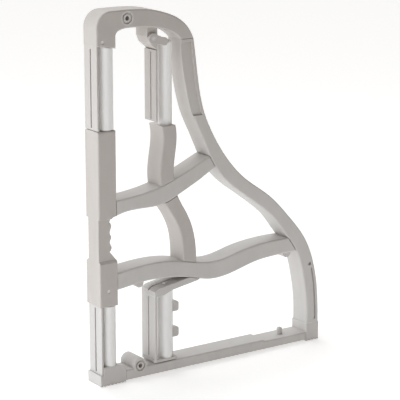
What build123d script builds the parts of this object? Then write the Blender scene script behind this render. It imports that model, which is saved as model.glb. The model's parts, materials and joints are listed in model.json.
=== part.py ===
from build123d import *
import os

# Folding sawhorse: a flat outer frame with a swing frame that folds into its plane.
# Millimetres. X runs along the panel from the spine to the curved leg, Z is up from the
# ground and the front of the panel faces -Y. Inside this file X is counted from the outer
# face of the spine; the nodes are centred on X as they are written.

# ---- overall sizes ----
FRAME_WIDTH = 581.0
FRAME_HEIGHT = 800.0
DEPTH = 54.0
EDGE_R = 3.5
REST_GAP = 2.0

# ---- spine, the hinge post at the left ----
SPINE_W = 44.0
FOOT_H = 42.0
COLLAR_DEPTH = 57.0
WAIST_FRONT = 3.0
WAIST_BACK = 10.0
WAIST_SLOPE = 8.0
HINGE_X = 28.5
HINGE_Y = -10.0
PIN_R = 8.0
BUSH_R = 11.5
BUSH_L = 26.0
FLANGE_R = 13.5
FLANGE_T = 2.0
SPACER_R = 17.0
RUN_GAP = 0.05
SEAT_GAP = 0.2
PIN_SEAT = 28.0
PIN_TOP_SEAT = 38.0
GUARD_T = 4.0
GUARD_SLOT = 5.0
GUARD_SEAT_Z = 24.0
GUARD_INSET = 4.0
CROWN_R = 35.0
CROWN_FLAT = 1.0
CORNER_W = 46.5
CORNER_INNER_H = 22.0
GUARD_SETBACK = 2.0
UPPER_GUARD_X = 1.0
GUARD_END = 4.0
PIN_END_GAP = 1.0
COLLAR_EDGE_R = 3.0
WAIST_BELOW_GRIP = 4.0

# ---- bars, feet and the pins that join them ----
BAR_Z0 = 3.0
BAR_Z1 = 25.6
LEFT_FOOT_W = 62.0
RIGHT_FOOT_W = 34.0
TOOTH_PITCH = 9.0
TOOTH_H = 5.0
TOOTH_FLAT = 0.45
TOOTH_FLANK = 0.65
TOOTH_GAP_END = 0.8
SHOULDER_DROP = 4.0
SHOULDER_BULGE = 6.2
BAR_EDGE_R = 3.0
BAR_STEP = 4.0
NOTCH_SIDE_GAP = 7.0
REST_STUD_H = 12.0
STUD_SUNK = 4.0
REST_STUD_R = 6.5
TENON_L = 20.0
TENON_H = 11.0
TENON_DEPTH = 30.0
CROSS_PIN_R = 3.0
CROSS_PIN_L = 46.0

# ---- grooves beside the curved leg's outer edge ----
GROOVE_IN = 8.0
GROOVE_W = 4.5
GROOVE_DEPTH = 3.0
GROOVE_Z0 = 50.0
WEB_DEPTH = 4.0
WEB_REACH = 60.0

# ---- ring bosses ----
RING_R = 15.0
RING_HOLE_R = 5.0
RING_GROOVE = 2.5
RING_RIM = 3.0
RING_HUB = 3.5
LOW_BOSS_R = 17.0

# ---- middle post ----
UPPER_POST_Y = -5.0
UPPER_POST_R = 15.0
LOWER_POST_Y = -10.5
LOWER_POST_R = 16.5
CAP_H = 10.0
STUD_R = 5.0
STUD_L = 30.0
STUD_END_GAP = 2.0
SPIGOT_R = 9.0
SPIGOT_L = 18.0
CAP_EDGE_R = 6.0
BRACKET_FRONT = -19.7
BRACKET_BACK = 24.0
RIB_T = 4.5
RIB_SLOT = 4.5
ARM_GROOVE = 2.0
BASE_T = 6.0
BASE_EDGE_R = 4.0
SCREW_R = 2.5
SCREW_HEAD_R = 4.5
SCREW_HEAD_H = 3.0
SCREW_Z0 = 10.0
SCREW_IN_X = 8.0
SCREW_IN_Y = 12.0
SWING_FOOT_Y0 = 3.0
PAD_T = 4.0
ARM_REACH = 82.0
ARM_END_T = 11.0
ARM_SOCKET = 22.0
LUG_H = 22.0
LUG_EDGE_R = 5.0
LUG_INSET = 2.0
LUG_L = 17.0
LUG_STRIP_T = 3.0
LUG_STRIP_Y0 = -12.0
LUG_STRIP_Y1 = 8.0

# ---- latch ----
LATCH_T = 6.5
LATCH_EDGE_R = 1.0
TONGUE_HALF_W = 8.0
TONGUE_Y0 = -14.0
TONGUE_Y1 = 4.0
BRACKET_LEFT = 12.0
BRACKET_RIGHT = 13.0
BRACKET_DROP = 26.0
LATCH_HUB_R = 12.0
LATCH_NOSE_R = 8.5
LATCH_PIN_R = 3.0
LATCH_PIN_L = 14.0
LATCH_HEAD_R = 5.0
LATCH_HEAD_T = 2.3
WASHER_T = 0.8
WASHER_R = 7.5

# ---- pale plugs that close the small round holes ----
PLUG_R = 4.0
PLUG_DEPTH = 8.0
PLUG_RECESS = 1.5
LEG_PLUG_RECESS = 5.0

FRONT = -DEPTH / 2
BACK = DEPTH / 2


def sx(x):
    """A place along the panel, stretched with the width beyond the spine."""
    return SPINE_W + (x - 44) * (FRAME_WIDTH - SPINE_W) / 537


def sz(z):
    """A height; what lies between the feet and the top bar stretches with the frame."""
    if z >= 722:
        return z + FRAME_HEIGHT - 800
    return FOOT_H + (z - 42) * (FRAME_HEIGHT - 78 - FOOT_H) / 680


SLEEVE_Z0 = sz(176)
SLEEVE_Z1 = sz(552)
COLLAR_Z1 = sz(272)
CORNER_Z = sz(722)
CORNER_RISE = 7.0
GRIP_Z1 = sz(369)
GRIP_X = 27.0
LEG_TOP_Z = sz(726)
WAVY_TOP_Z = sz(546)
UPPER_POST_X = sx(178.5)
UPPER_POST_Z1 = sz(716)
LOWER_POST_X = sx(172)
LOWER_RIB_X = LOWER_POST_X - 30
ARM_Z0 = sz(176)
BASE_Z0 = BAR_Z1 + REST_GAP
BASE_Z1 = BASE_Z0 + BASE_T
BASE_X0 = LOWER_RIB_X - RIB_T - 2
BASE_X1 = LOWER_POST_X + LOWER_POST_R + LUG_STRIP_T + 1.5
SWING_FOOT_X0 = LOWER_RIB_X
SWING_FOOT_X1 = LOWER_POST_X + 4
LUG_STRIP_X = LOWER_POST_X + LOWER_POST_R + 0.5
TOP_RING = (sx(74), sz(782))
LOW_RING = (sx(99), 29.5)
LATCH_X = sx(138.5)
LATCH_Z = sz(734)
NOSE_X = LATCH_X + 27
NOSE_Z = LATCH_Z - 8
LEG_PLUG = (sx(554), sz(183))
CORNER_PLUG = (14.5, CORNER_Z + 15)
SLEEVE_PLUG = (21.0, sz(209))
NEAR_STUD = (sx(100.5), sz(213.5))
FAR_STUD = (sx(491), sz(218.5))
NEAR_STUD_R = 10.0
FAR_STUD_R = 11.0
REST_STUD_X = sx(490)
BAR_STEP_X = sx(428)
LUG_HEIGHTS = (sz(83), sz(141))
TONGUE_Z0 = sz(750)
TONGUE_Z1 = sz(774)
BRACKET_Z1 = sz(770)
SCREW_PLACES = (SWING_FOOT_X0 + SCREW_IN_X, SWING_FOOT_X1 - SCREW_IN_X)


def at(x, z):
    return (x, 0, z)


def curve(points):
    """A smooth edge through places on the panel."""
    return Spline([at(sx(x), sz(z)) for x, z in points])


def chain(points):
    return Polyline([at(x, z) for x, z in points])


def slab(edges, y0=FRONT, y1=BACK):
    """A closed outline on the panel, given thickness from y0 to y1."""
    return Pos(0, y0, 0) * extrude(make_face(edges), amount=y1 - y0, dir=(0, 1, 0))


def block(x0, x1, y0, y1, z0, z1):
    return Pos((x0 + x1) / 2, (y0 + y1) / 2, (z0 + z1) / 2) * Box(x1 - x0, y1 - y0, z1 - z0)


def upright(x, y, radius, z0, z1):
    """A round bar along Z."""
    return Pos(x, y, (z0 + z1) / 2) * Cylinder(radius, z1 - z0)


def cross(x, z, radius, y0=FRONT, y1=BACK):
    """A round bar through the panel, along Y."""
    return Pos(x, (y0 + y1) / 2, z) * Rot(90, 0, 0) * Cylinder(radius, y1 - y0)


def soften(part, radius=EDGE_R, y0=FRONT, y1=BACK):
    """Rounds every edge of the part's front and back faces."""
    rims = part.edges().filter_by_position(Axis.Y, y0 - 0.01, y0 + 0.01)
    rims += part.edges().filter_by_position(Axis.Y, y1 - 0.01, y1 + 0.01)
    return fillet(rims, radius)


def soften_sides(part, radius=EDGE_R):
    """Rounds only the long edges of a ribbon, and leaves its cut ends square."""
    rims = part.edges().filter_by(GeomType.BSPLINE)
    return fillet(rims, radius)


def ribbon(outer, inner):
    """A curved member between two smooth edges that run the same way."""
    near = Line(at(sx(outer[0][0]), sz(outer[0][1])), at(sx(inner[0][0]), sz(inner[0][1])))
    far = Line(at(sx(outer[-1][0]), sz(outer[-1][1])), at(sx(inner[-1][0]), sz(inner[-1][1])))
    return slab([curve(outer), curve(inner), near, far])


def side_tenon(x0, x1, z_mid, grow=0.0):
    """A tongue along X; grow turns it into its socket."""
    half = TENON_H / 2 + grow
    deep = TENON_DEPTH / 2 + grow
    return block(x0 - grow, x1 + grow, -deep, deep, z_mid - half, z_mid + half)


def end_tenon(x_mid, z0, z1, grow=0.0):
    """A tongue along Z; grow turns it into its socket."""
    half = TENON_H / 2 + grow
    deep = TENON_DEPTH / 2 + grow
    return block(x_mid - half, x_mid + half, -deep, deep, z0 - grow, z1 + grow)


def cross_pin(x, z, gap=0.0):
    return cross(x, z, CROSS_PIN_R + gap, -CROSS_PIN_L / 2, CROSS_PIN_L / 2)


def plug_hole(x, z, face=FRONT):
    """A blind hole in a front face."""
    return cross(x, z, PLUG_R, face - 1, face + PLUG_DEPTH)


def make_plug(x, z, face=FRONT, recess=PLUG_RECESS):
    """A plug that sits below the front face."""
    return cross(x, z, PLUG_R - SEAT_GAP, face + recess, face + PLUG_DEPTH)


# ---- curved outlines, on a panel 581 wide and 800 high ----
LEG_OUTER = [
    (238.6, 726), (248.9, 648), (266.5, 564.5), (287.5, 517.5), (321.5, 463), (376, 404.5),
    (439, 358.5), (497, 300), (540.5, 245), (565, 187), (577, 123), (581, 42),
]
LEG_INNER = [
    (206.6, 726), (210, 685), (220.5, 621.5), (236, 563), (260, 511), (293, 444),
    (329, 401.5), (376, 365.5), (419, 333.5), (452, 305), (480.5, 269), (517, 217),
    (538, 150), (546.5, 95), (548, 42),
]
UPPER_TOP = [(44, 402.5), (95, 407), (157, 418.5), (191, 430), (235, 448), (300, 476)]
UPPER_LOW = [(44, 369), (113, 376), (168, 380), (199, 393), (246, 415), (306, 450)]
LOWER_TOP = [
    (44, 244.5), (107, 252), (183, 250), (239, 238.5), (304, 232), (363, 244), (419, 251.5), (515, 250.5),
]
LOWER_LOW = [
    (44, 208), (80, 212), (120, 216), (157, 215), (234, 203.5), (277, 193), (309, 192.5), (353, 200.5),
    (402, 212.5), (456, 217.5), (525, 219),
]
WAVY_LEFT = [
    (157.5, 546), (160.5, 512), (154.5, 469), (152.5, 425.5), (165, 379), (188, 342), (203.5, 306.6),
    (209.5, 266), (210, 226),
]
WAVY_RIGHT = [
    (192.5, 546), (195, 513), (189, 465), (188.5, 425), (198, 390.6), (219.5, 352), (235.2, 316),
    (243, 279), (244.5, 222),
]

# ---- places of the joints between members ----
LAP_X = sx(223)
LAP_PIN_Z = LEG_TOP_Z + 12
LEG_FOOT_X = FRAME_WIDTH - RIGHT_FOOT_W / 2
BAR_MID_Z = (BAR_Z0 + BAR_Z1) / 2
UPPER_ROOT_Z = sz(383.5)
LOWER_ROOT_Z = sz(224)
ROOT_PIN_X = SPINE_W - TENON_L / 2


# ================= outer frame =================
def toothed_foot(x0, x1, top_edges):
    """A foot block whose underside is cut into a row of teeth."""
    count = round((x1 - x0) / TOOTH_PITCH)
    pitch = (x1 - x0) / count
    teeth = []
    for n in range(count):
        left = x0 + n * pitch
        teeth += [(left, 0), (left + pitch * TOOTH_FLAT, 0)]
        teeth += [(left + pitch * TOOTH_FLANK, TOOTH_H), (left + pitch * TOOTH_GAP_END, TOOTH_H)]
    teeth += [(x1, 0)]
    return slab([chain(teeth)] + top_edges)


def bracket_tongue(grow=0.0):
    half = TONGUE_HALF_W + grow
    y0 = TONGUE_Y0 - grow
    y1 = TONGUE_Y1 + grow
    return block(LATCH_X - half, LATCH_X + half, y0, y1, TONGUE_Z0, TONGUE_Z1 + grow)


def top_bar_outline():
    """The bar's outline: a square corner over the spine and a long fall to the leg."""
    inner_z = CORNER_Z + CORNER_INNER_H
    crown = [(90, 799.5), (130, 795.8), (170, 785.5), (205, 769), (226, 749), (238.6, 726)]
    belly = [(61, 759.5), (82, 761.5), (119.5, 759.5), (147.6, 755.5), (183.3, 744), (206.6, 726)]
    fall = [at(CROWN_R + CROWN_FLAT, FRAME_HEIGHT)] + [at(sx(x), sz(z)) for x, z in crown]
    under = [at(CORNER_W, inner_z), at(CORNER_W + 3, sz(754))]
    return [
        Line(at(0, FRAME_HEIGHT), at(0, CORNER_Z + CORNER_RISE)),
        Line(at(0, CORNER_Z + CORNER_RISE), at(CORNER_W, CORNER_Z)),
        Line(at(CORNER_W, CORNER_Z), at(CORNER_W, inner_z)),
        Spline(under + [at(sx(x), sz(z)) for x, z in belly]),
        Line(at(sx(206.6), LEG_TOP_Z), at(sx(238.6), LEG_TOP_Z)),
        Line(at(0, FRAME_HEIGHT), at(CROWN_R + CROWN_FLAT, FRAME_HEIGHT)),
        Spline(fall, tangents=[(1, 0, 0), (0.4, 0, -1)]),
    ]


def make_top_bar():
    bar = slab(top_bar_outline())
    crown = bar.edges().filter_by(Axis.Y).sort_by(lambda edge: edge.center().Z - edge.center().X)[-1]
    bar = soften(fillet(crown, CROWN_R))
    bar -= cross(*TOP_RING, RING_R)
    bar -= upright(HINGE_X, HINGE_Y, PIN_R + RUN_GAP, CORNER_Z, CORNER_Z + PIN_TOP_SEAT)
    bar -= plug_hole(*CORNER_PLUG)
    bar -= end_tenon(LAP_X, LEG_TOP_Z, LEG_TOP_Z + TENON_L, SEAT_GAP)
    bar -= cross_pin(LAP_X, LAP_PIN_Z, RUN_GAP)
    bar -= bracket_tongue(SEAT_GAP)
    return bar


def make_ring(x, z):
    """A round insert with a recessed face and a through hole."""
    ring = cross(x, z, RING_R)
    ring -= cross(x, z, RING_R - RING_RIM, FRONT, FRONT + RING_GROOVE)
    ring += cross(x, z, RING_HOLE_R + RING_HUB, FRONT, FRONT + RING_GROOVE)
    return ring - cross(x, z, RING_HOLE_R)


leg_raw = ribbon(LEG_OUTER, LEG_INNER)


def make_curved_leg():
    leg = soften_sides(leg_raw)
    # The upper stretch is a channel: a rim along the outer edge and a web set back inside it.
    web_edge = [(x - GROOVE_IN, z) for x, z in LEG_OUTER[:4]]
    web_far = [(x - WEB_REACH, z) for x, z in LEG_OUTER[:4]]
    web = ribbon(web_edge, web_far) & block(0, FRAME_WIDTH, FRONT - 1, FRONT + WEB_DEPTH, sz(560), sz(720))
    leg -= web
    leg += end_tenon(LAP_X, LEG_TOP_Z, LEG_TOP_Z + TENON_L)
    leg += end_tenon(LEG_FOOT_X, FOOT_H - TENON_L + 1, FOOT_H)
    leg -= cross_pin(LAP_X, LAP_PIN_Z, RUN_GAP)
    leg -= cross_pin(LEG_FOOT_X, FOOT_H - TENON_L / 2, RUN_GAP)
    leg -= plug_hole(*LEG_PLUG)
    # A narrow groove runs beside the outer edge of the lower stretch.
    groove_edge = [(x - GROOVE_IN, z) for x, z in LEG_OUTER[6:]]
    groove_far = [(x - GROOVE_IN - GROOVE_W, z) for x, z in LEG_OUTER[6:]]
    reach = block(0, FRAME_WIDTH, FRONT - 1, FRONT + GROOVE_DEPTH, GROOVE_Z0, sz(172))
    return leg - (ribbon(groove_edge, groove_far) & reach)


def make_right_foot():
    left = FRAME_WIDTH - RIGHT_FOOT_W
    sides = chain([(left, 0), (left, FOOT_H), (FRAME_WIDTH, FOOT_H), (FRAME_WIDTH, 0)])
    foot = toothed_foot(left, FRAME_WIDTH, [sides])
    foot -= end_tenon(LEG_FOOT_X, FOOT_H - TENON_L + 1, FOOT_H, SEAT_GAP)
    foot -= side_tenon(left, left + TENON_L, BAR_MID_Z, SEAT_GAP)
    foot -= cross_pin(LEG_FOOT_X, FOOT_H - TENON_L / 2, RUN_GAP)
    foot -= cross_pin(left + TENON_L / 2, BAR_MID_Z, RUN_GAP)
    return foot


def make_left_foot():
    low = BAR_Z1 - SHOULDER_DROP
    middle = at(LEFT_FOOT_W - SHOULDER_BULGE, FOOT_H - SHOULDER_BULGE)
    shoulder = ThreePointArc(at(SPINE_W, FOOT_H), middle, at(LEFT_FOOT_W, low))
    sides = [chain([(0, 0), (0, FOOT_H), (SPINE_W, FOOT_H)]), shoulder]
    sides += [Line(at(LEFT_FOOT_W, low), at(LEFT_FOOT_W, 0))]
    foot = toothed_foot(0, LEFT_FOOT_W, sides)
    foot -= block(-1, GUARD_INSET + GUARD_T, FRONT - 1, BACK + 1, GUARD_SEAT_Z, FOOT_H + 1)
    foot -= upright(HINGE_X, HINGE_Y, PIN_R + RUN_GAP, FOOT_H - PIN_SEAT, FOOT_H)
    foot -= side_tenon(LEFT_FOOT_W - TENON_L, LEFT_FOOT_W, BAR_MID_Z, SEAT_GAP)
    foot -= cross_pin(LEFT_FOOT_W - TENON_L / 2, BAR_MID_Z, RUN_GAP)
    return foot


def make_bottom_bar():
    x0 = LEFT_FOOT_W
    x1 = FRAME_WIDTH - RIGHT_FOOT_W
    bar = block(x0, x1, FRONT, BACK, BAR_Z0, BAR_Z1)
    bar -= block(BAR_STEP_X, x1 + 1, FRONT - 1, BACK + 1, BAR_Z1 - BAR_STEP, BAR_Z1 + 1)
    bar = soften(bar, BAR_EDGE_R)
    bar += cross(*LOW_RING, LOW_BOSS_R)
    bar -= cross(*LOW_RING, RING_R)
    # The swing foot passes out of this notch at the back.
    notch_x0 = SWING_FOOT_X0 - NOTCH_SIDE_GAP
    bar -= block(notch_x0, BASE_X1, SWING_FOOT_Y0 - REST_GAP, BACK + 1, BAR_Z0 - 1, BAR_Z1 + 1)
    bar += side_tenon(x0 - TENON_L, x0, BAR_MID_Z)
    bar += side_tenon(x1, x1 + TENON_L, BAR_MID_Z)
    bar -= cross_pin(x0 - TENON_L / 2, BAR_MID_Z, RUN_GAP)
    bar -= cross_pin(x1 + TENON_L / 2, BAR_MID_Z, RUN_GAP)
    return bar


def make_rest_stud():
    stud = upright(REST_STUD_X, 0, REST_STUD_R, BAR_Z1 - STUD_SUNK, BAR_Z1 + REST_STUD_H)
    return fillet(stud.edges().sort_by(Axis.Z)[-1], REST_STUD_R - 1.5)


def make_frame_pins():
    pins = cross_pin(LAP_X, LAP_PIN_Z) + cross_pin(LEG_FOOT_X, FOOT_H - TENON_L / 2)
    pins += cross_pin(LEFT_FOOT_W - TENON_L / 2, BAR_MID_Z)
    pins += cross_pin(FRAME_WIDTH - RIGHT_FOOT_W + TENON_L / 2, BAR_MID_Z)
    return pins


def make_frame_plugs():
    return make_plug(*LEG_PLUG, recess=LEG_PLUG_RECESS) + make_plug(*CORNER_PLUG)


def make_hinge_pin(z0, z1):
    return upright(HINGE_X, HINGE_Y, PIN_R, z0, z1)


def make_spacer(z0, z1):
    """The tube round a stub pin; its top is cut to the slope of the corner above it."""
    tube = upright(HINGE_X, HINGE_Y, SPACER_R, z0, z1) - upright(HINGE_X, HINGE_Y, PIN_R + RUN_GAP, z0, z1)
    return tube - slab(top_bar_outline(), FRONT - 1, BACK + 1)


def make_upper_guard():
    """A thin slotted wall outside the upper spacer, cut to the slope of the corner."""
    slope = CORNER_RISE / CORNER_W
    top = CORNER_Z + CORNER_RISE - slope
    z0 = SLEEVE_Z1 + FLANGE_T
    x0 = UPPER_GUARD_X
    x1 = x0 + GUARD_T
    edges = chain([(x0, z0), (x1, z0), (x1, top - slope * GUARD_T), (x0, top), (x0, z0)])
    guard = slab([edges], FRONT + GUARD_SETBACK, BACK - GUARD_SETBACK)
    return guard - block(0, SPINE_W, -GUARD_SLOT / 2, GUARD_SLOT / 2, z0 + GUARD_END, CORNER_Z)


def make_lower_guard():
    z1 = SLEEVE_Z0 - FLANGE_T
    y1 = BACK - GUARD_SETBACK
    guard = block(GUARD_INSET, GUARD_INSET + GUARD_T, -y1, y1, GUARD_SEAT_Z, z1)
    slot = block(0, SPINE_W, -GUARD_SLOT / 2, GUARD_SLOT / 2, GUARD_SEAT_Z + GUARD_END, z1 - GUARD_END)
    return guard - slot


def make_bracket():
    x0 = LATCH_X - BRACKET_LEFT
    x1 = LATCH_X + BRACKET_RIGHT
    edges = chain([
        (x0, BRACKET_Z1), (x0, LATCH_Z + 4), (LATCH_X - 6, LATCH_Z - 10),
        (x1, LATCH_Z - BRACKET_DROP), (x1, BRACKET_Z1), (x0, BRACKET_Z1),
    ])
    bracket = slab([edges], BRACKET_FRONT, BRACKET_BACK) - slab(top_bar_outline())
    bracket += bracket_tongue() - block(0, FRAME_WIDTH, FRONT, BACK, 0, sz(756))
    bore = LATCH_PIN_R + SEAT_GAP / 2
    return bracket - cross(LATCH_X, LATCH_Z, bore, BRACKET_FRONT - 1, BRACKET_FRONT + LATCH_PIN_L)


def make_upper_rib():
    """A slotted board hung from the bracket, beside the upper post."""
    x1 = LATCH_X + BRACKET_RIGHT
    z0 = WAVY_TOP_Z + 10
    z1 = LATCH_Z - BRACKET_DROP
    rib = block(x1 - RIB_T, x1, BRACKET_FRONT, BRACKET_BACK, z0, z1)
    return rib - block(x1 - RIB_T - 1, x1 + 1, -RIB_SLOT / 2, RIB_SLOT / 2, z0 + RIB_T, z1 - RIB_T)


# ================= swing frame =================
upper_brace_raw = ribbon(UPPER_TOP, UPPER_LOW)
lower_brace_raw = ribbon(LOWER_TOP, LOWER_LOW)
leg_clearance = Pos(-REST_GAP, 0, 0) * leg_raw


def waist(y_out, y_in):
    """What is cut off one face beside the grip, down to a slope on the collar."""
    z0 = COLLAR_Z1 - WAIST_SLOPE / 2
    z1 = GRIP_Z1 - WAIST_BELOW_GRIP
    profile = [(y_out, z0), (y_in, z0 + WAIST_SLOPE), (y_in, z1), (y_out, z1), (y_out, z0)]
    rim = Polyline([(-1, y, z) for y, z in profile])
    return extrude(make_face(rim), amount=SPINE_W + 2, dir=(1, 0, 0))


def make_sleeve():
    """The hinge sleeve; its inner edge is notched into a finger grip."""
    out = SPINE_W + 1
    notch = [
        Line(at(out, GRIP_Z1), at(SPINE_W, GRIP_Z1)),
        ThreePointArc(at(SPINE_W, GRIP_Z1), at(GRIP_X + 5, GRIP_Z1 - 3), at(GRIP_X, GRIP_Z1 - 11)),
        Spline([
            at(GRIP_X, GRIP_Z1 - 11),
            at(GRIP_X + 3.5, sz(345)), at(GRIP_X + 0.5, sz(335)),
            at(GRIP_X + 4, sz(325)), at(GRIP_X + 0.5, sz(315)),
            at(GRIP_X + 4, sz(305.5)), at(GRIP_X, sz(294)),
        ]),
        chain([(GRIP_X, sz(294)), (SPINE_W, sz(273)), (out, sz(273)), (out, GRIP_Z1)]),
    ]
    sleeve = soften(block(0, SPINE_W, FRONT, BACK, SLEEVE_Z0, SLEEVE_Z1)) - slab(notch)
    collar = block(0, SPINE_W, -COLLAR_DEPTH / 2, COLLAR_DEPTH / 2, SLEEVE_Z0, COLLAR_Z1)
    sleeve += fillet(collar.edges().filter_by(Axis.Z), COLLAR_EDGE_R)
    sleeve -= waist(-COLLAR_DEPTH / 2 - 1, FRONT + WAIST_FRONT)
    sleeve -= waist(COLLAR_DEPTH / 2 + 1, BACK - WAIST_BACK)
    sleeve -= upright(HINGE_X, HINGE_Y, BUSH_R + RUN_GAP, SLEEVE_Z0, SLEEVE_Z0 + BUSH_L)
    sleeve -= upright(HINGE_X, HINGE_Y, BUSH_R + RUN_GAP, SLEEVE_Z1 - BUSH_L, SLEEVE_Z1)
    sleeve -= plug_hole(*SLEEVE_PLUG, -COLLAR_DEPTH / 2)
    for root_z in (UPPER_ROOT_Z, LOWER_ROOT_Z):
        sleeve -= side_tenon(SPINE_W - TENON_L, SPINE_W, root_z, SEAT_GAP)
        sleeve -= cross_pin(ROOT_PIN_X, root_z, RUN_GAP)
    return sleeve


def make_bush(z_face, inward):
    """A flanged bush: the flange lies on the sleeve's end at z_face."""
    tail = z_face + inward * BUSH_L
    lip = z_face - inward * FLANGE_T
    bush = upright(HINGE_X, HINGE_Y, BUSH_R, min(z_face, tail), max(z_face, tail))
    bush += upright(HINGE_X, HINGE_Y, FLANGE_R, min(z_face, lip), max(z_face, lip))
    return bush - upright(HINGE_X, HINGE_Y, PIN_R + RUN_GAP, min(lip, tail), max(lip, tail))


def make_brace(raw, root_z):
    brace = soften_sides(raw) - leg_clearance
    brace += side_tenon(SPINE_W - TENON_L, SPINE_W, root_z)
    return brace - cross_pin(ROOT_PIN_X, root_z, RUN_GAP)


def make_lower_brace():
    brace = make_brace(lower_brace_raw, LOWER_ROOT_Z)
    brace += cross(*NEAR_STUD, NEAR_STUD_R, FRONT + EDGE_R, BACK - EDGE_R)
    return brace + cross(*FAR_STUD, FAR_STUD_R, FRONT + EDGE_R, BACK - EDGE_R)


def make_arm():
    """The sloping arm that hangs the lower post and its board from the lower brace."""
    x0 = LOWER_RIB_X - RIB_T
    tip_x = LOWER_POST_X + ARM_REACH
    crest = [(tip_x, sz(210)), (LOWER_RIB_X + 6, ARM_Z0 + 17), (x0, ARM_Z0 + ARM_END_T)]
    sole = [(x0, ARM_Z0), (LOWER_POST_X - 12, ARM_Z0 + 1), (LOWER_POST_X + 10, ARM_Z0 + 9)]
    sole += [(tip_x - 6, sz(196)), (tip_x, sz(199))]
    bar = slab([chain(sole + crest + [(x0, ARM_Z0)])]) - lower_brace_raw
    bed = [(x, z - ARM_GROOVE) for x, z in reversed(crest)]
    groove = slab([chain(crest + bed + [crest[0]])], -RIB_SLOT / 2, RIB_SLOT / 2)
    return bar - groove


def make_lower_rib():
    """A slotted board from the base plate up to the arm, beside the lower post."""
    x0 = LOWER_RIB_X - RIB_T
    rib = block(x0, LOWER_RIB_X, FRONT, BACK, BASE_Z1, ARM_Z0)
    return rib - block(x0 - 1, LOWER_RIB_X + 1, -RIB_SLOT / 2, RIB_SLOT / 2, BASE_Z1 + RIB_T, ARM_Z0 - RIB_T)


def make_swing_foot():
    foot = block(SWING_FOOT_X0, SWING_FOOT_X1, SWING_FOOT_Y0, BACK, PAD_T, BASE_Z0)
    for x in SCREW_PLACES:
        foot -= upright(x, BACK - SCREW_IN_Y, SCREW_R + RUN_GAP, SCREW_Z0, BASE_Z0)
    return foot


def make_base_plate():
    plate = block(BASE_X0, BASE_X1, FRONT, BACK, BASE_Z0, BASE_Z1)
    plate = fillet(plate.edges().filter_by(Axis.Z), BASE_EDGE_R)
    for x in SCREW_PLACES:
        plate -= upright(x, BACK - SCREW_IN_Y, SCREW_R + RUN_GAP, BASE_Z0, BASE_Z1)
    return plate


def make_base_screws():
    screws = Part()
    for x in SCREW_PLACES:
        screws += upright(x, BACK - SCREW_IN_Y, SCREW_R, SCREW_Z0, BASE_Z1)
        screws += upright(x, BACK - SCREW_IN_Y, SCREW_HEAD_R, BASE_Z1, BASE_Z1 + SCREW_HEAD_H)
    return screws


def make_lug_strip():
    """A thin board beside the lower post, from the base plate to the arm, with two lugs."""
    x1 = LUG_STRIP_X + LUG_STRIP_T
    strip = block(LUG_STRIP_X, x1, LUG_STRIP_Y0, LUG_STRIP_Y1, BASE_Z1, ARM_Z0 + 20) - arm
    strip = strip.solids().sort_by(Axis.Z)[0]
    y0 = LUG_STRIP_Y0 + LUG_INSET
    y1 = LUG_STRIP_Y1 - LUG_INSET
    for z in LUG_HEIGHTS:
        lug = block(x1, x1 + LUG_L, y0, y1, z - LUG_H / 2, z + LUG_H / 2)
        strip += fillet(lug.edges().filter_by(Axis.Y).sort_by(Axis.X)[-2:], LUG_EDGE_R)
    return strip


def make_upper_post():
    bar = upright(UPPER_POST_X, UPPER_POST_Y, UPPER_POST_R, WAVY_TOP_Z, UPPER_POST_Z1)
    bar -= upright(UPPER_POST_X, UPPER_POST_Y, STUD_R + RUN_GAP, WAVY_TOP_Z, WAVY_TOP_Z + STUD_L)
    return bar - upright(UPPER_POST_X, UPPER_POST_Y, SPIGOT_R, UPPER_POST_Z1 - SPIGOT_L - 2, UPPER_POST_Z1)


def make_post_cap():
    cap = upright(UPPER_POST_X, UPPER_POST_Y, UPPER_POST_R, UPPER_POST_Z1, UPPER_POST_Z1 + CAP_H)
    cap = fillet(cap.edges().sort_by(Axis.Z)[-1], CAP_EDGE_R)
    z0 = UPPER_POST_Z1 - SPIGOT_L
    return cap + upright(UPPER_POST_X, UPPER_POST_Y, SPIGOT_R - SEAT_GAP, z0, UPPER_POST_Z1)


def make_lower_post():
    bar = upright(LOWER_POST_X, LOWER_POST_Y, LOWER_POST_R, BASE_Z1, ARM_Z0 + 17) - arm
    bar = bar.solids().sort_by(Axis.Z)[0]
    return bar - upright(LOWER_POST_X, LOWER_POST_Y, STUD_R + RUN_GAP, ARM_Z0 - STUD_L, ARM_Z0 + ARM_SOCKET)


def make_post_studs():
    upper_end = WAVY_TOP_Z + STUD_L - STUD_END_GAP
    lower_end = ARM_Z0 - STUD_L + STUD_END_GAP
    studs = upright(UPPER_POST_X, UPPER_POST_Y, STUD_R, WAVY_TOP_Z - STUD_L, upper_end)
    return studs + upright(LOWER_POST_X, LOWER_POST_Y, STUD_R, lower_end, ARM_Z0 + ARM_SOCKET)


# ================= latch =================
def make_latch():
    """A flat hook on the bracket; its nose stands in front of the upper post."""
    y0 = BRACKET_FRONT - WASHER_T - LATCH_T
    y1 = BRACKET_FRONT - WASHER_T
    hub = cross(LATCH_X, LATCH_Z, LATCH_HUB_R, y0, y1)
    nose = cross(NOSE_X, NOSE_Z, LATCH_NOSE_R, y0, y1)
    tongue = chain([
        (LATCH_X, LATCH_Z + LATCH_HUB_R - 1), (NOSE_X, NOSE_Z + LATCH_NOSE_R - 1),
        (NOSE_X, NOSE_Z - LATCH_NOSE_R + 1), (LATCH_X, LATCH_Z - LATCH_HUB_R + 1),
        (LATCH_X, LATCH_Z + LATCH_HUB_R - 1),
    ])
    latch = soften(hub + nose + slab([tongue], y0, y1), LATCH_EDGE_R, y0, y1)
    latch -= cross(LATCH_X, LATCH_Z, LATCH_PIN_R + RUN_GAP, y0, y1)
    return latch - cross(LATCH_X, LATCH_Z, LATCH_HEAD_R + SEAT_GAP, y0, y0 + LATCH_HEAD_T + SEAT_GAP)


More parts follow.
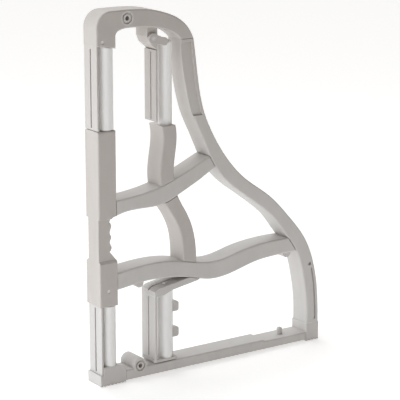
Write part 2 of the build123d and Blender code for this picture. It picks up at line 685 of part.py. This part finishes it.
def make_latch_pin():
    y0 = BRACKET_FRONT - WASHER_T - LATCH_T
    head = cross(LATCH_X, LATCH_Z, LATCH_HEAD_R, y0, y0 + LATCH_HEAD_T)
    return head + cross(LATCH_X, LATCH_Z, LATCH_PIN_R, y0, BRACKET_FRONT + LATCH_PIN_L)


def make_latch_washer():
    washer = cross(LATCH_X, LATCH_Z, WASHER_R, BRACKET_FRONT - WASHER_T, BRACKET_FRONT)
    return washer - cross(LATCH_X, LATCH_Z, LATCH_PIN_R + RUN_GAP, BRACKET_FRONT - WASHER_T, BRACKET_FRONT)


# ================= all nodes =================
arm = make_arm()
stud_hole = upright(UPPER_POST_X, UPPER_POST_Y, STUD_R + RUN_GAP, WAVY_TOP_Z - STUD_L, WAVY_TOP_Z)
wavy = soften_sides(ribbon(WAVY_LEFT, WAVY_RIGHT)) - upper_brace_raw - lower_brace_raw - stud_hole
wavy_low, wavy_high = wavy.solids().sort_by(Axis.Z)
arm_bore = upright(LOWER_POST_X, LOWER_POST_Y, STUD_R + RUN_GAP, ARM_Z0 - 1, ARM_Z0 + ARM_SOCKET)

nodes = {
    "top_bar": make_top_bar(),
    "curved_leg": make_curved_leg(),
    "bottom_bar": make_bottom_bar(),
    "left_foot": make_left_foot(),
    "right_foot": make_right_foot(),
    "top_ring": make_ring(*TOP_RING),
    "low_ring": make_ring(*LOW_RING),
    "rest_stud": make_rest_stud(),
    "frame_plugs": make_frame_plugs(),
    "frame_pins": make_frame_pins(),
    "upper_hinge_pin": make_hinge_pin(SLEEVE_Z1 - BUSH_L + PIN_END_GAP, CORNER_Z + PIN_TOP_SEAT),
    "lower_hinge_pin": make_hinge_pin(FOOT_H - PIN_SEAT, SLEEVE_Z0 + BUSH_L - PIN_END_GAP),
    "upper_spacer": make_spacer(SLEEVE_Z1 + FLANGE_T, CORNER_Z + CORNER_RISE),
    "lower_spacer": make_spacer(FOOT_H, SLEEVE_Z0 - FLANGE_T),
    "upper_guard": make_upper_guard(),
    "lower_guard": make_lower_guard(),
    "hanger_bracket": make_bracket(),
    "upper_rib": make_upper_rib(),
    "latch_pin": make_latch_pin(),
    "latch_washer": make_latch_washer(),
    "latch_hook": make_latch(),
    "hinge_sleeve": make_sleeve(),
    "sleeve_plug": make_plug(*SLEEVE_PLUG, -COLLAR_DEPTH / 2),
    "upper_bush": make_bush(SLEEVE_Z1, -1),
    "lower_bush": make_bush(SLEEVE_Z0, 1),
    "upper_brace": make_brace(upper_brace_raw, UPPER_ROOT_Z),
    "lower_brace": make_lower_brace(),
    "brace_pins": cross_pin(ROOT_PIN_X, UPPER_ROOT_Z) + cross_pin(ROOT_PIN_X, LOWER_ROOT_Z),
    "wavy_leg_upper": wavy_high,
    "wavy_leg_lower": wavy_low,
    "upper_post": make_upper_post(),
    "post_cap": make_post_cap(),
    "lower_post": make_lower_post(),
    "post_studs": make_post_studs(),
    "post_arm": arm - arm_bore,
    "lower_rib": make_lower_rib(),
    "lug_strip": make_lug_strip(),
    "base_plate": make_base_plate(),
    "base_screws": make_base_screws(),
    "swing_foot": make_swing_foot(),
    "foot_pad": block(SWING_FOOT_X0, SWING_FOOT_X1, SWING_FOOT_Y0, BACK, 0, PAD_T),
}

os.makedirs("parts", exist_ok=True)
for name, shape in nodes.items():
    export_step(Pos(-FRAME_WIDTH / 2, 0, 0) * shape, f"parts/{name}.step")
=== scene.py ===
"""The looks of the folding sawhorse: moulded plastic members, white tubes, steel and rubber."""

import json
import math

import bpy
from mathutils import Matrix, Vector


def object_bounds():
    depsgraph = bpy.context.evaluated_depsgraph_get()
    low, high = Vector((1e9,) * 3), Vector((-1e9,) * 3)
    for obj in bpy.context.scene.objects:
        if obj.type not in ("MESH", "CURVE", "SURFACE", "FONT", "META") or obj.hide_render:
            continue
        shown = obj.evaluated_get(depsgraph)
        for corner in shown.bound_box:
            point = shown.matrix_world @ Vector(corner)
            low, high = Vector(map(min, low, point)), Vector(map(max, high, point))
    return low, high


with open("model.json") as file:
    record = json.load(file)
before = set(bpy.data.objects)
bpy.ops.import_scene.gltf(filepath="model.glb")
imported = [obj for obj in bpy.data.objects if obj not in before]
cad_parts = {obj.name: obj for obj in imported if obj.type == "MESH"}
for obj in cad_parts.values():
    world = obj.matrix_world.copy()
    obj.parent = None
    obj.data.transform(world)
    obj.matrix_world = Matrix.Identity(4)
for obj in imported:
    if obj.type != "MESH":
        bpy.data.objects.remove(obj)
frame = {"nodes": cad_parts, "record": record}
cad_lo, cad_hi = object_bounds()
centre = (cad_lo + cad_hi) / 2

# ---- camera: degrees, metres, and millimetres of lens ----
CAMERA_AZIMUTH = -34.3
CAMERA_ELEVATION = 14.2
CAMERA_DISTANCE = 3.963
CAMERA_LENS = 164.7
CAMERA_AIM = Vector((-0.0187, 0.0, 0.3661))

# ---- lights, room and floor: metres, watts and levels of grey ----
LIGHT_AIM = (0.0, 0.0, 0.4)
KEY_PLACE = (-5.4, -0.3, 2.3)
KEY_SIZE = 3.2
KEY_POWER = 132.0
KEY_COLOUR = (0.91, 0.96, 1.0)
TOP_PLACE = (0.2, 1.2, 2.6)
TOP_SIZE = 1.4
TOP_POWER = 13.0
TOP_COLOUR = (1.0, 1.0, 1.0)
BACKDROP_LIGHT = 1.0
ROOM_LIGHT = 0.2
ROOM_WARMTH = (1.0, 0.9, 0.8)
DIM_BELOW_Y = -0.35
BRIGHT_ABOVE_Y = 0.45
FLOOR_RADIUS = 9.0
FLOOR_SIDES = 96
FLOOR_GREY = 0.86
FLOOR_ROUGHNESS = 0.9
FLOOR_GLOW = 0.43

# ---- colours, and the heights between which the moulding turns warmer and darker, a painted shade ----
FRAME_COLOUR = (0.635, 0.618, 0.602)
# painted shade: the darker, warmer moulding colour used up high and for aged_plastic
PAINTED_SHADE_COLOUR = (0.565, 0.53, 0.502)
PAINTED_SHADE_FROM = 0.36
PAINTED_SHADE_TO = 0.74
WORN_EDGE = (0.9, 0.9, 0.89)
# painted shade: the colour laid into the moulding's corners and gaps
MOULDING_CREVICE_SHADE = (0.36, 0.33, 0.3)
TUBE_COLOUR = (0.96, 0.96, 0.955)
TUBE_SMUDGE = (0.76, 0.755, 0.74)
# painted shade: the colour laid into the tube's corners and gaps
TUBE_CREVICE_SHADE = (0.4, 0.39, 0.37)
NYLON_DARK = (0.6, 0.57, 0.54)
NYLON_PALE = (0.7, 0.675, 0.65)
# painted shade: the colour laid into the nylon's recesses
NYLON_CREVICE_SHADE = (0.26, 0.24, 0.22)
STEEL_DARK = (0.5, 0.5, 0.52)
STEEL_PALE = (0.68, 0.68, 0.69)
STEEL_SPOT = (0.3, 0.28, 0.26)
RUBBER_DARK = (0.1, 0.1, 0.1)
RUBBER_PALE = (0.16, 0.16, 0.16)
RUBBER_DIRT = (0.27, 0.25, 0.22)

# ---- surface sizes, in metres ----
WORN_EDGE_R = 0.0016
MOULDING_EDGE_R = 0.0009
NYLON_EDGE_R = 0.0006
# reaches of the painted crevice shade
MOULDING_CREVICE_SHADE_REACH = 0.012
TUBE_CREVICE_SHADE_REACH = 0.008
NYLON_CREVICE_SHADE_REACH = 0.005
WAVE_HEIGHT = 0.0012
PEBBLE_HEIGHT = 0.00006
TUBE_LINE_HEIGHT = 0.00004
LATHE_RING_HEIGHT = 0.00006
BRUSHED_HEIGHT = 0.00003
RUBBER_GRAIN_HEIGHT = 0.0001


# ---- node helpers ----
class Shader:
    """A material under construction: adds nodes and links them by socket name."""

    def __init__(self, name):
        self.material = bpy.data.materials.new(name)
        self.material.use_nodes = True
        self.tree = self.material.node_tree
        self.surface = self.tree.nodes["Principled BSDF"]
        self.place = self.add("ShaderNodeTexCoord").outputs["Object"]

    def add(self, kind, **values):
        node = self.tree.nodes.new(kind)
        for key, value in values.items():
            setattr(node, key, value)
        return node

    def link(self, source, target):
        self.tree.links.new(source, target)

    def stretched(self, scale):
        mapping = self.add("ShaderNodeMapping")
        mapping.inputs["Scale"].default_value = scale
        self.link(self.place, mapping.inputs["Vector"])
        return mapping.outputs["Vector"]

    def noise(self, scale, detail=3.0, roughness=0.5, stretch=None, distortion=0.0):
        node = self.add("ShaderNodeTexNoise")
        node.inputs["Scale"].default_value = scale
        node.inputs["Detail"].default_value = detail
        node.inputs["Roughness"].default_value = roughness
        node.inputs["Distortion"].default_value = distortion
        self.link(self.stretched(stretch) if stretch else self.place, node.inputs["Vector"])
        return node.outputs["Fac"]

    def remap(self, source, low, high, to_low=0.0, to_high=1.0):
        node = self.add("ShaderNodeMapRange")
        node.inputs["From Min"].default_value = low
        node.inputs["From Max"].default_value = high
        node.inputs["To Min"].default_value = to_low
        node.inputs["To Max"].default_value = to_high
        self.link(source, node.inputs["Value"])
        return node.outputs["Result"]

    def math(self, operation, first, second):
        node = self.add("ShaderNodeMath", operation=operation)
        for socket, value in zip(node.inputs, (first, second)):
            if isinstance(value, (int, float)):
                socket.default_value = value
            else:
                self.link(value, socket)
        return node.outputs["Value"]

    def mix(self, factor, first, second):
        node = self.add("ShaderNodeMix", data_type="RGBA")
        self.link(factor, node.inputs[0])
        for socket, value in ((node.inputs[6], first), (node.inputs[7], second)):
            if isinstance(value, tuple):
                socket.default_value = value
            else:
                self.link(value, socket)
        return node.outputs[2]

    def crevices(self, distance):
        """1 in the open, falling towards 0 in corners and gaps narrower than distance."""
        node = self.add("ShaderNodeAmbientOcclusion", samples=6)
        node.inputs["Distance"].default_value = distance
        return node.outputs["AO"]

    def edges(self, radius):
        """0 on flats, rising towards 1 on edges rounded by up to radius."""
        bevel = self.add("ShaderNodeBevel", samples=4)
        bevel.inputs["Radius"].default_value = radius
        flat = self.add("ShaderNodeNewGeometry").outputs["Normal"]
        dot = self.add("ShaderNodeVectorMath", operation="DOT_PRODUCT")
        self.link(bevel.outputs["Normal"], dot.inputs[0])
        self.link(flat, dot.inputs[1])
        return self.remap(dot.outputs["Value"], 0.995, 0.86)

    def bump(self, height, distance, strength=1.0, below=None):
        node = self.add("ShaderNodeBump")
        node.inputs["Strength"].default_value = strength
        node.inputs["Distance"].default_value = distance
        self.link(height, node.inputs["Height"])
        if below is not None:
            self.link(below, node.inputs["Normal"])
        return node.outputs["Normal"]

    def round_normal(self, radius):
        bevel = self.add("ShaderNodeBevel", samples=6)
        bevel.inputs["Radius"].default_value = radius
        return bevel.outputs["Normal"]

    def finish(self, base, roughness, normal):
        """Plugs the three results into the surface, and gives back the finished material."""
        self.link(base, self.surface.inputs["Base Color"])
        self.link(roughness, self.surface.inputs["Roughness"])
        self.link(normal, self.surface.inputs["Normal"])
        return self.material


def tint(colour, factor=1.0):
    """The colour made lighter or darker, with a full alpha."""
    return tuple(c * factor for c in colour) + (1.0,)


# ---- materials ----
def moulded_plastic(name, colour, upper=None):
    """Structural-foam moulding: faint swirl, pebble grain, paler worn edges, painted shade in
    corners and gaps.

    With an upper colour, the moulding turns into that colour towards the top of the object: a
    painted shade, darker and warmer up high.
    """
    s = Shader(name)
    broad = s.noise(7.0, 4.0, 0.6, stretch=(1.0, 1.6, 0.45), distortion=1.4)
    cloud = s.remap(broad, 0.35, 0.68)
    base = s.mix(cloud, tint(colour, 0.94), tint(colour, 1.024))
    # painted shade: the moulding turns darker and warmer towards the top
    if upper is not None:
        split = s.add("ShaderNodeSeparateXYZ")
        s.link(s.place, split.inputs[0])
        base = s.mix(s.remap(split.outputs["Z"], PAINTED_SHADE_FROM, PAINTED_SHADE_TO), base, tint(upper))
    streak = s.noise(26.0, 5.0, 0.65, stretch=(1.0, 1.0, 0.12), distortion=0.6)
    streak = s.math("MULTIPLY", s.remap(streak, 0.58, 0.8), 0.3)
    base = s.mix(streak, base, tint((colour[0], colour[1] * 0.97, colour[2] * 0.92), 0.86))
    scuff = s.remap(s.noise(60.0, 6.0, 0.7, stretch=(1.0, 0.4, 2.2)), 0.66, 0.74)
    base = s.mix(s.math("MULTIPLY", scuff, 0.22), base, tint(colour, 1.12))
    patches = s.remap(s.noise(38.0, 4.0, 0.7), 0.4, 0.62, 0.15, 0.8)
    base = s.mix(s.math("MULTIPLY", s.edges(WORN_EDGE_R), patches), base, tint(WORN_EDGE))
    # painted shade: darkens corners and gaps, by ambient occlusion
    crevice_shade = s.remap(s.crevices(MOULDING_CREVICE_SHADE_REACH), 0.25, 0.85, 0.3, 0.0)
    base = s.mix(crevice_shade, base, tint(MOULDING_CREVICE_SHADE))
    roughness = s.math("ADD", s.remap(cloud, 0.0, 1.0, 0.44, 0.56), s.math("MULTIPLY", scuff, 0.12))
    s.surface.inputs["Specular IOR Level"].default_value = 0.42
    wave = s.noise(34.0, 2.0, 0.5)
    normal = s.bump(wave, WAVE_HEIGHT, 0.25, below=s.round_normal(MOULDING_EDGE_R))
    pebble = s.noise(1150.0, 2.0, 0.5)
    normal = s.bump(pebble, PEBBLE_HEIGHT, 0.8, below=normal)
    return s.finish(base, roughness, normal)


def white_tube(name):
    """Extruded white tube: fine lines along its length, faint smudges and a soft sheen."""
    s = Shader(name)
    lines = s.noise(420.0, 3.0, 0.6, stretch=(1.0, 1.0, 0.015))
    base = s.mix(s.remap(lines, 0.3, 0.7), tint(TUBE_COLOUR, 0.975), tint(TUBE_COLOUR, 1.02))
    smudge = s.noise(14.0, 5.0, 0.65, stretch=(1.0, 1.0, 0.5))
    base = s.mix(s.remap(smudge, 0.52, 0.75, 0.0, 0.35), base, tint(TUBE_SMUDGE))
    # painted shade: darkens the tube's corners and gaps, by ambient occlusion
    crevice_shade = s.remap(s.crevices(TUBE_CREVICE_SHADE_REACH), 0.25, 0.85, 0.35, 0.0)
    base = s.mix(crevice_shade, base, tint(TUBE_CREVICE_SHADE))
    roughness = s.remap(lines, 0.3, 0.7, 0.3, 0.42)
    return s.finish(base, roughness, s.bump(lines, TUBE_LINE_HEIGHT, 0.5))


def turned_nylon(name):
    """Grey nylon with lathe rings and painted shade darkening its recesses."""
    s = Shader(name)
    rings = s.noise(240.0, 2.0, 0.5, stretch=(1.0, 0.2, 1.0))
    base = s.mix(s.remap(rings, 0.35, 0.65), tint(NYLON_DARK), tint(NYLON_PALE))
    # painted shade: darkens the nylon's recesses, by ambient occlusion
    crevice_shade = s.remap(s.crevices(NYLON_CREVICE_SHADE_REACH), 0.3, 0.9, 0.25, 0.0)
    base = s.mix(crevice_shade, base, tint(NYLON_CREVICE_SHADE))
    roughness = s.remap(rings, 0.3, 0.7, 0.38, 0.55)
    normal = s.bump(rings, LATHE_RING_HEIGHT, 0.6, below=s.round_normal(NYLON_EDGE_R))
    return s.finish(base, roughness, normal)


def plated_steel(name):
    """Zinc-plated steel, brushed, with small dull spots."""
    s = Shader(name)
    s.surface.inputs["Metallic"].default_value = 1.0
    brushed = s.noise(700.0, 3.0, 0.6, stretch=(1.0, 1.0, 0.05))
    spots = s.remap(s.noise(160.0, 5.0, 0.7), 0.6, 0.7)
    base = s.mix(s.remap(brushed, 0.3, 0.7), tint(STEEL_DARK), tint(STEEL_PALE))
    base = s.mix(s.math("MULTIPLY", spots, 0.6), base, tint(STEEL_SPOT))
    polish = s.remap(brushed, 0.3, 0.7, 0.26, 0.4)
    roughness = s.math("ADD", polish, s.math("MULTIPLY", spots, 0.25))
    return s.finish(base, roughness, s.bump(brushed, BRUSHED_HEIGHT, 0.5))


def pad_rubber(name):
    """Grey rubber with a fine crackle and patches of floor dirt."""
    s = Shader(name)
    grain = s.noise(520.0, 4.0, 0.6)
    base = s.mix(s.remap(grain, 0.35, 0.65), tint(RUBBER_DARK), tint(RUBBER_PALE))
    dirt = s.remap(s.noise(90.0, 5.0, 0.7), 0.5, 0.7, 0.0, 0.6)
    base = s.mix(dirt, base, tint(RUBBER_DIRT))
    roughness = s.remap(grain, 0.3, 0.7, 0.7, 0.9)
    return s.finish(base, roughness, s.bump(grain, RUBBER_GRAIN_HEIGHT, 0.7))


def dress_nodes():
    """Gives every CAD node the material of its record slot."""
    slots = {
        "frame_plastic": moulded_plastic("frame_plastic", FRAME_COLOUR, upper=PAINTED_SHADE_COLOUR),
        # painted shade: aged_plastic is the frame moulding in the darker, warmer painted-shade
        # colour all over
        "aged_plastic": moulded_plastic("aged_plastic", PAINTED_SHADE_COLOUR),
        "white_tube": white_tube("white_tube"),
        "bush_plastic": turned_nylon("bush_plastic"),
        "steel": plated_steel("steel"),
        "pad_rubber": pad_rubber("pad_rubber"),
    }
    for part in frame["record"]["subparts"]:
        node = frame["nodes"][part["node"]]
        node.data.materials.clear()
        node.data.materials.append(slots[part["material_slot"]])


# ---- stage ----
def make_floor():
    """A plain pale floor that glows a little, as a lit studio sweep does."""
    under = (centre.x, centre.y, cad_lo.z)
    bpy.ops.mesh.primitive_circle_add(
        vertices=FLOOR_SIDES, radius=FLOOR_RADIUS, fill_type="NGON", location=under
    )
    floor = bpy.context.object
    floor.name = "studio_floor"
    s = Shader("studio_floor")
    s.surface.inputs["Base Color"].default_value = (FLOOR_GREY, FLOOR_GREY, FLOOR_GREY, 1.0)
    s.surface.inputs["Roughness"].default_value = FLOOR_ROUGHNESS
    s.surface.inputs["Emission Color"].default_value = (1.0, 1.0, 1.0, 1.0)
    s.surface.inputs["Emission Strength"].default_value = FLOOR_GLOW
    floor.data.materials.append(s.material)


def make_room():
    """A bright backdrop beyond the panel (+Y) and a dimmer, warmer room in front of it (-Y)."""
    world = bpy.data.worlds.new("studio")
    bpy.context.scene.world = world
    world.use_nodes = True
    nodes, links = world.node_tree.nodes, world.node_tree.links
    background = nodes["Background"]
    direction = nodes.new("ShaderNodeTexCoord")
    split = nodes.new("ShaderNodeSeparateXYZ")
    links.new(direction.outputs["Generated"], split.inputs["Vector"])
    ramp = nodes.new("ShaderNodeMapRange")
    ramp.interpolation_type = "SMOOTHSTEP"
    ramp.inputs["From Min"].default_value = DIM_BELOW_Y
    ramp.inputs["From Max"].default_value = BRIGHT_ABOVE_Y
    links.new(split.outputs["Y"], ramp.inputs["Value"])
    colour = nodes.new("ShaderNodeMix")
    colour.data_type = "RGBA"
    colour.inputs[6].default_value = tint(ROOM_WARMTH, ROOM_LIGHT)
    colour.inputs[7].default_value = (BACKDROP_LIGHT, BACKDROP_LIGHT, BACKDROP_LIGHT, 1.0)
    links.new(ramp.outputs["Result"], colour.inputs[0])
    links.new(colour.outputs[2], background.inputs["Color"])


def make_light(name, place, size, power, colour):
    """A square soft box that faces the middle of the object."""
    data = bpy.data.lights.new(name, "AREA")
    data.shape = "SQUARE"
    data.size = size
    data.energy = power
    data.color = colour
    light = bpy.data.objects.new(name, data)
    bpy.context.scene.collection.objects.link(light)
    light.location = place
    light.rotation_mode = "QUATERNION"
    light.rotation_quaternion = (Vector(LIGHT_AIM) - Vector(place)).to_track_quat("-Z", "Y")


def make_camera():
    """A long lens at the photograph's angle: azimuth from -Y, elevation from the floor."""
    azimuth = math.radians(CAMERA_AZIMUTH)
    elevation = math.radians(CAMERA_ELEVATION)
    back = Vector((
        math.sin(azimuth) * math.cos(elevation),
        -math.cos(azimuth) * math.cos(elevation),
        math.sin(elevation),
    ))
    data = bpy.data.cameras.new("camera")
    data.lens = CAMERA_LENS
    camera = bpy.data.objects.new("camera", data)
    bpy.context.scene.collection.objects.link(camera)
    camera.location = CAMERA_AIM + back * CAMERA_DISTANCE
    camera.rotation_mode = "QUATERNION"
    camera.rotation_quaternion = (-back).to_track_quat("-Z", "Y")
    bpy.context.scene.camera = camera


make_camera()
make_room()
make_floor()
make_light("key_left", KEY_PLACE, KEY_SIZE, KEY_POWER, KEY_COLOUR)
make_light("top_soft", TOP_PLACE, TOP_SIZE, TOP_POWER, TOP_COLOUR)
dress_nodes()
bpy.context.scene.view_settings.view_transform = "Standard"
